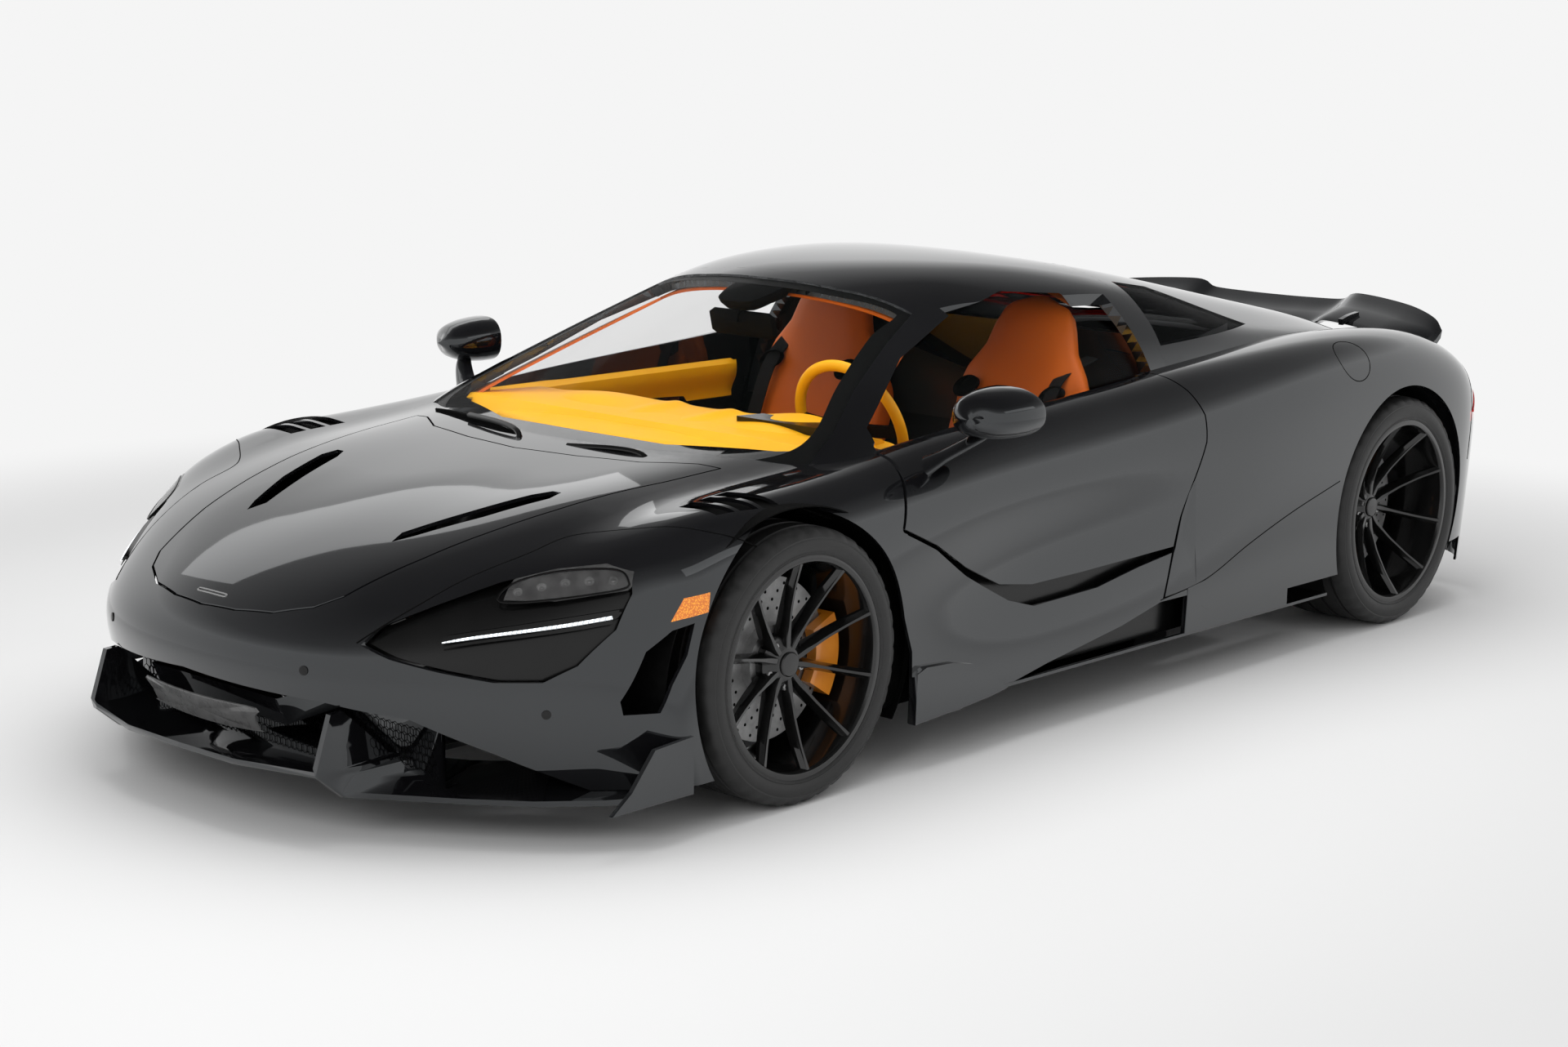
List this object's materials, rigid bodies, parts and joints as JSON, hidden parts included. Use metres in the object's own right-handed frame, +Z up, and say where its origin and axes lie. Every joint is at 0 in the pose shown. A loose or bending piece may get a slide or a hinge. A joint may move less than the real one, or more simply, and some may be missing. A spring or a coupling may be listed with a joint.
{
  "type": "two-seat open-top sports car",
  "caption": "low two-seat convertible sports car with the engine behind the cabin, upward-swinging doors, steered front wheels, opening front lid and tilting rear wing",
  "frame": {"origin": "on the ground under the middle of the body", "axes": "+X forward, +Y to the car's left, +Z up"},
  "size_m": [4.5218, 2.1406, 1.1502],
  "materials": {
    "gloss_black_paint": "deep gloss black paint",
    "carbon": "satin woven carbon fibre",
    "glass": "tinted glass",
    "lamp_lens": "clear moulded lens",
    "tyre": "road tyre rubber",
    "wheel_metal": "satin dark forged alloy",
    "brake_disc": "grey drilled disc",
    "caliper_paint": "gloss orange paint",
    "alloy": "machined alloy",
    "seat_leather": "stitched orange leather",
    "dash_leather": "stitched yellow leather"
  },
  "bodies": {
    "chassis": {"tub": "carbon", "front_bumper": "gloss_black_paint", "front_wings": "gloss_black_paint", "side_skirts": "gloss_black_paint", "haunches": "gloss_black_paint", "rear_bumper": "gloss_black_paint", "rear_deck": "gloss_black_paint", "roof_panel": "gloss_black_paint", "windscreen": "glass", "rear_glass": "glass", "splitter": "carbon", "diffuser": "carbon", "lamps": "lamp_lens", "rear_knuckles": "alloy", "rear_calipers": "caliper_paint", "front_suspension": "alloy", "rear_suspension": "alloy", "dashboard": "dash_leather", "seats": "seat_leather", "engine": "alloy"},
    "knuckle_left": {"knuckle_front_left": "alloy", "caliper_front_left": "caliper_paint"},
    "knuckle_right": {"knuckle_front_right": "alloy", "caliper_front_right": "caliper_paint"},
    "door_left": {"door_left": "gloss_black_paint", "door_glass_left": "glass", "mirror_left": "gloss_black_paint"},
    "door_right": {"door_right": "gloss_black_paint", "door_glass_right": "glass", "mirror_right": "gloss_black_paint"},
    "front_lid": {"bonnet": "gloss_black_paint"},
    "rear_wing": {"rear_wing": "gloss_black_paint"},
    "steering": {"steering_wheel": "dash_leather"},
    "wheel_front_left": {"rim_front_left": "wheel_metal", "tyre_front_left": "tyre", "disc_front_left": "brake_disc"},
    "wheel_front_right": {"rim_front_right": "wheel_metal", "tyre_front_right": "tyre", "disc_front_right": "brake_disc"},
    "wheel_rear_left": {"rim_rear_left": "wheel_metal", "tyre_rear_left": "tyre", "disc_rear_left": "brake_disc"},
    "wheel_rear_right": {"rim_rear_right": "wheel_metal", "tyre_rear_right": "tyre", "disc_rear_right": "brake_disc"}
  },
  "joints": [
    {"name": "steer_left", "type": "hinge", "parent": "chassis", "child": "knuckle_left", "pos_m": [1.185, 0.71, 0.327], "axis": [0, 0, 1], "range_deg": [-28, 28]},
    {"name": "steer_right", "type": "hinge", "parent": "chassis", "child": "knuckle_right", "pos_m": [1.185, -0.71, 0.327], "axis": [0, 0, 1], "range_deg": [-28, 28]},
    {"name": "steering_wheel_turn", "type": "hinge", "parent": "chassis", "child": "steering", "pos_m": [0.37909, 0.3696, 0.73944], "axis": [-0.9367, 0, 0.35], "range_deg": [-392, 392]},
    {"name": "door_left_hinge", "type": "hinge", "parent": "chassis", "child": "door_left", "pos_m": [0.72413, 0.84244, 0.6903], "axis": [0, 0.6428, -0.766], "range_deg": [0, 75]},
    {"name": "door_right_hinge", "type": "hinge", "parent": "chassis", "child": "door_right", "pos_m": [0.72413, -0.84244, 0.6903], "axis": [0, 0.6428, 0.766], "range_deg": [0, 75]},
    {"name": "front_lid_hinge", "type": "hinge", "parent": "chassis", "child": "front_lid", "pos_m": [0.98518, 0, 0.6903], "axis": [0, -1, 0], "range_deg": [0, 55]},
    {"name": "rear_wing_tilt", "type": "hinge", "parent": "chassis", "child": "rear_wing", "pos_m": [-1.98398, 0, 0.83187], "axis": [0, 1, 0], "range_deg": [0, 28]},
    {"name": "wheel_front_left_spin", "type": "hinge", "parent": "knuckle_left", "child": "wheel_front_left", "pos_m": [1.185, 0.828, 0.327], "axis": [0, 1, 0], "continuous": true},
    {"name": "wheel_front_right_spin", "type": "hinge", "parent": "knuckle_right", "child": "wheel_front_right", "pos_m": [1.185, -0.828, 0.327], "axis": [0, 1, 0], "continuous": true},
    {"name": "wheel_rear_left_spin", "type": "hinge", "parent": "chassis", "child": "wheel_rear_left", "pos_m": [-1.485, 0.806, 0.3455], "axis": [0, 1, 0], "continuous": true},
    {"name": "wheel_rear_right_spin", "type": "hinge", "parent": "chassis", "child": "wheel_rear_right", "pos_m": [-1.485, -0.806, 0.3455], "axis": [0, 1, 0], "continuous": true}
  ],
  "couplings": [
    {"joint": "steer_right", "follows": "steer_left", "ratio": 1},
    {"joint": "steering_wheel_turn", "follows": "steer_left", "ratio": 14}
  ]
}
